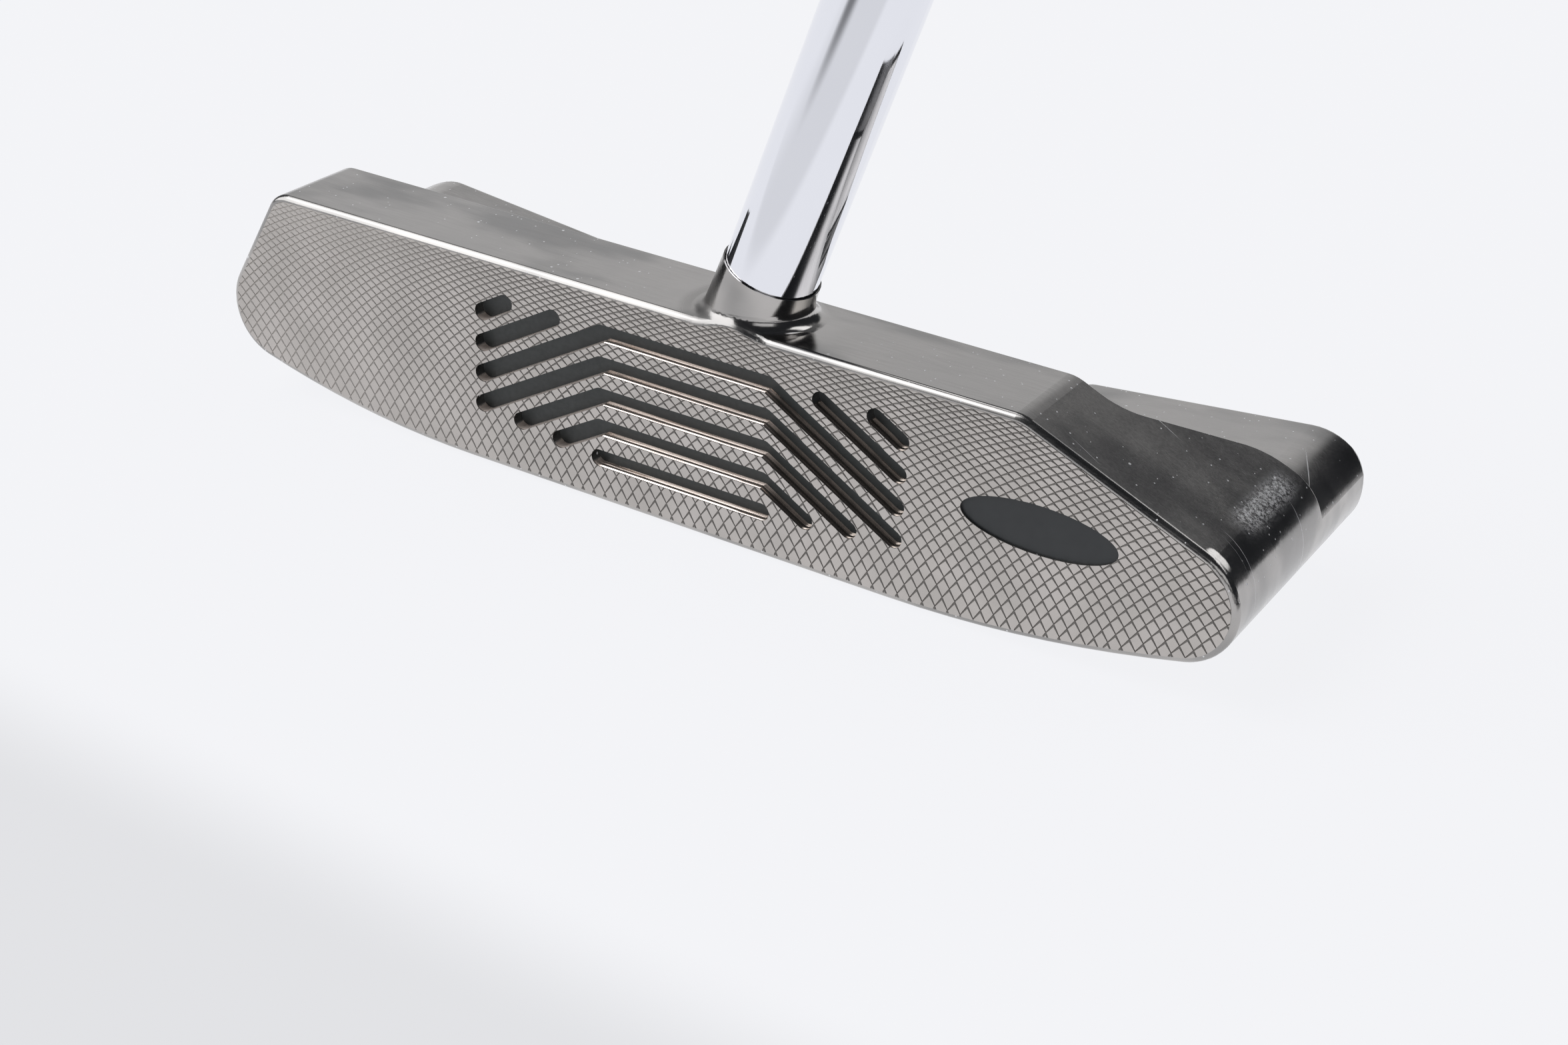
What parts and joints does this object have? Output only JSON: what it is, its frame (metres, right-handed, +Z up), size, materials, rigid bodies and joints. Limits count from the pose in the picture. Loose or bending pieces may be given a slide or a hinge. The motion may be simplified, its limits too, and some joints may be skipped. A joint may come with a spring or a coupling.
{
  "type": "putter",
  "caption": "Blade putter with a short collar, chevron grooves and a fine cross-hatch on its face, a low rear flange, a stepped chrome shaft and a rubber grip.",
  "frame": {"origin": "middle of the flat of the sole, below the middle of the groove pattern", "axes": "+X towards the heel, the strike face looks along -Y, +Z up with the putter soled at address"},
  "size_m": [0.3544, 0.0474, 0.8466],
  "materials": {
    "head_steel": "satin nickel plate with a milled cross-hatch on the strike face",
    "groove_polymer": "charcoal urethane, satin",
    "dark_enamel": "satin charcoal paint in a shallow recess",
    "white_enamel": "white paint in a shallow recess",
    "epoxy": "cured shafting adhesive",
    "shaft_chrome": "polished chrome plate on a stepped steel tube",
    "grip_tape": "double-sided crepe tape",
    "grip_rubber": "moulded matt rubber",
    "cap_plastic": "hard moulded cap"
  },
  "bodies": {
    "root": {"putter_head": "head_steel", "chevron_fill_1": "groove_polymer", "chevron_fill_2": "groove_polymer", "chevron_fill_3": "groove_polymer", "chevron_fill_4": "groove_polymer", "bar_fill": "groove_polymer", "toe_slot_fill_long": "groove_polymer", "heel_slot_fill_long": "groove_polymer", "toe_slot_fill_short": "groove_polymer", "heel_slot_fill_short": "groove_polymer", "face_mark_paint": "dark_enamel", "sight_line_paint": "white_enamel", "hosel_epoxy": "epoxy", "shaft": "shaft_chrome", "grip_tape": "grip_tape", "grip": "grip_rubber", "grip_cap": "cap_plastic"}
  },
  "joints": []
}
